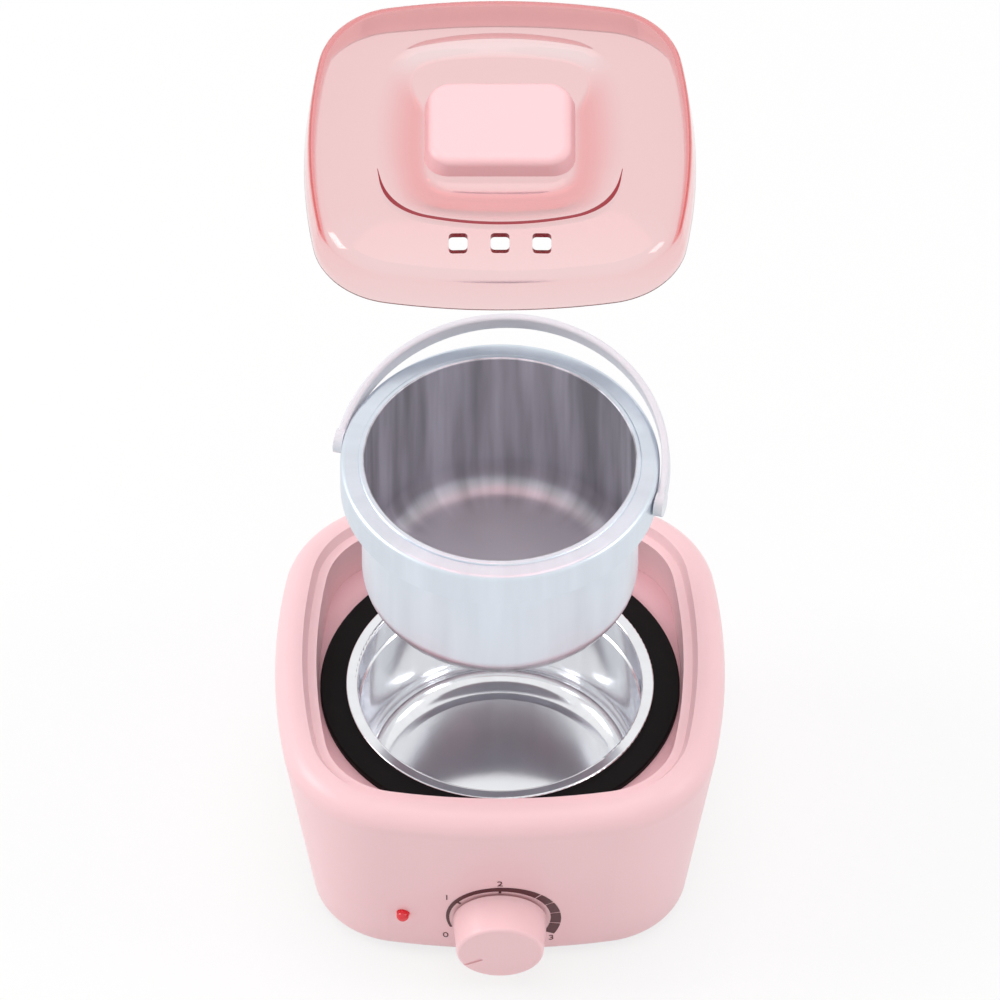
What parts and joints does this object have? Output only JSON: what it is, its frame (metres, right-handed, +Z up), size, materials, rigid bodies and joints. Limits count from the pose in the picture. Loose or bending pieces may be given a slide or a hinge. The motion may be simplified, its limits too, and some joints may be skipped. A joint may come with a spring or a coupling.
{
  "type": "wax warmer pot",
  "caption": "Bulged square wax warmer, opened: heated base with a polished well and a heat knob, lift-out pot with a bail handle, and a translucent lid with a finger grip.",
  "frame": {"origin": "on the table, under the axis of the heating chamber", "axes": "+Z up, the knob faces -Y, +X is to the right of someone who faces the knob"},
  "size_m": [0.172, 0.19, 0.3903],
  "materials": {
    "housing_pink": "soft gloss moulded pink",
    "ring_black": "matt black heat-proof board",
    "chamber_polished": "mirror polished with fine turning lines",
    "mica": "mica sheet",
    "steel": "zinc plated",
    "phenolic": "dark phenolic",
    "brass": "plain",
    "copper": "copper capillary",
    "ceramic": "glazed ceramic",
    "lens_red": "clear red, round faced",
    "gland_black": "black nylon",
    "cover_pink": "fine textured pink",
    "rubber": "black rubber",
    "knob_pink": "soft gloss moulded pink",
    "pot_satin": "satin, vertical brushing inside",
    "bail_white": "moulded white",
    "lid_clear_pink": "clear tinted pink, deeper red at its edges",
    "grip_pink": "opaque moulded pink"
  },
  "bodies": {
    "base": {"housing": "housing_pink", "inner_deck": "cover_pink", "insulating_ring": "ring_black", "heating_chamber": "chamber_polished", "band_heater": "mica", "heater_strap": "steel", "strap_bolt": "steel", "strap_nut": "steel", "hold_down_bar": "steel", "hold_down_nut": "steel", "bar_screws": "steel", "thermostat_body": "phenolic", "thermostat_tabs": "brass", "thermostat_nut": "brass", "capillary_sensor": "copper", "thermal_fuse": "ceramic", "floor_clips": "steel", "indicator_lens": "lens_red", "indicator_holder": "phenolic", "terminal_block": "ceramic", "terminal_screw": "steel", "gland_body": "gland_black", "gland_nut": "gland_black", "bottom_cover": "cover_pink", "rubber_feet": "rubber", "foot_screws": "steel"},
    "knob": {"control_knob": "knob_pink", "thermostat_shaft": "steel"},
    "pot": {"wax_pot": "pot_satin"},
    "bail": {"bail_handle": "bail_white"},
    "lid": {"lid_shell": "lid_clear_pink", "lid_grip": "grip_pink", "grip_screws": "steel"}
  },
  "joints": [
    {"name": "pot_lift", "type": "slide", "parent": "base", "child": "pot", "axis": [0, 0, 1], "range_m": [-0.114, 0]},
    {"name": "lid_lift", "type": "slide", "parent": "pot", "child": "lid", "axis": [0, 0, 1], "range_m": [-0.163, 0]},
    {"name": "bail_swing", "type": "hinge", "parent": "pot", "child": "bail", "pos_m": [0, 0, 0.195], "axis": [0.9659, -0.2588, 0], "range_deg": [-16, 164]},
    {"name": "knob_turn", "type": "hinge", "parent": "base", "child": "knob", "pos_m": [0, -0.07768, 0.027], "axis": [0, 0.9884, 0.1517], "range_deg": [0, 240]}
  ]
}
